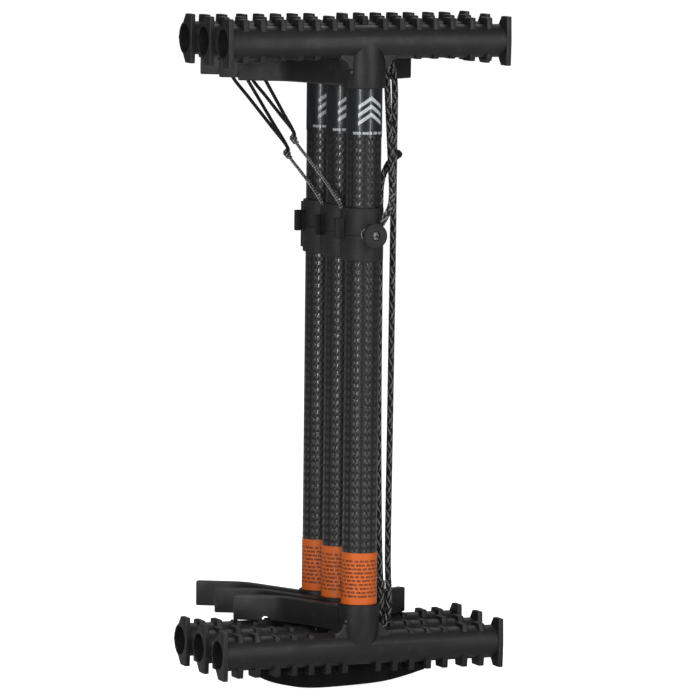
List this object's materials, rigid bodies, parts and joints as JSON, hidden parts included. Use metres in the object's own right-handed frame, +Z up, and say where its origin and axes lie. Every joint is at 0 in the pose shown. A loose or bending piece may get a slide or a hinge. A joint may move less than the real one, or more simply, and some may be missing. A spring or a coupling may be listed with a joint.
{
  "type": "nested climbing stick pack",
  "caption": "Nested pack of double-step climbing sticks: braided carbon tubes, ribbed T steps with V standoff arms, button collars, rope and cords.",
  "frame": {"origin": "centre of the bounding box, on the plane that the lower end flanges stand on", "axes": "+X along the step bars to the right, +Y towards the tree, +Z up along the tubes"},
  "size_m": [0.248, 0.2056, 0.5376],
  "materials": {
    "carbon": "clear-coated braided carbon fibre",
    "moulding": "fine matte glass-filled nylon moulding",
    "rubber": "matte black rubber",
    "steel": "plain stainless steel",
    "dark_label": "satin printed film, near black",
    "orange_label": "satin printed film, orange",
    "rope": "black braid with white flecks",
    "cord": "black and pale speckled braid",
    "elastic": "matte black elastic",
    "webbing": "black woven webbing"
  },
  "bodies": {
    "rear_stick": {"rear_tube": "carbon", "rear_upper_step": "moulding", "rear_lower_step": "moulding", "rear_upper_label": "dark_label", "rear_lower_label": "orange_label", "rear_collar": "moulding", "rear_cleat": "rubber", "rear_upper_socket_pin": "steel", "rear_lower_socket_pin": "steel", "rear_cord": "cord", "rear_cord_eye": "cord", "rear_cord_knot": "cord", "rear_elastic_loop": "elastic"},
    "rear_button_spool": {"rear_button": "moulding", "rear_button_screw": "steel"},
    "middle_stick": {"middle_tube": "carbon", "middle_upper_step": "moulding", "middle_lower_step": "moulding", "middle_upper_label": "dark_label", "middle_lower_label": "orange_label", "middle_collar": "moulding", "middle_cleat": "rubber", "middle_upper_socket_pin": "steel", "middle_lower_socket_pin": "steel", "middle_cord": "cord", "middle_cord_eye": "cord", "middle_cord_knot": "cord", "middle_elastic_loop": "elastic", "stowed_strap": "webbing"},
    "middle_button_spool": {"middle_button": "moulding", "middle_button_screw": "steel"},
    "front_stick": {"front_tube": "carbon", "front_upper_step": "moulding", "front_lower_step": "moulding", "front_upper_label": "dark_label", "front_lower_label": "orange_label", "front_collar": "moulding", "front_cleat": "rubber", "front_upper_socket_pin": "steel", "front_lower_socket_pin": "steel", "front_rope": "rope", "front_rope_eye": "rope", "front_rope_knot": "rope"},
    "front_button_spool": {"front_button": "moulding", "front_button_screw": "steel"}
  },
  "joints": [
    {"name": "middle_nest_slide", "type": "slide", "parent": "rear_stick", "child": "middle_stick", "axis": [0, -1, 0], "range_m": [0, 0.15]},
    {"name": "front_nest_slide", "type": "slide", "parent": "middle_stick", "child": "front_stick", "axis": [0, -1, 0], "range_m": [0, 0.15]},
    {"name": "rear_button_turn", "type": "hinge", "parent": "rear_stick", "child": "rear_button_spool", "pos_m": [0, -0.01235, 0.3613], "axis": [0, -1, 0], "continuous": true},
    {"name": "middle_button_turn", "type": "hinge", "parent": "middle_stick", "child": "middle_button_spool", "pos_m": [0, -0.05535, 0.3613], "axis": [0, -1, 0], "continuous": true},
    {"name": "front_button_turn", "type": "hinge", "parent": "front_stick", "child": "front_button_spool", "pos_m": [0, -0.09835, 0.3613], "axis": [0, -1, 0], "continuous": true}
  ]
}
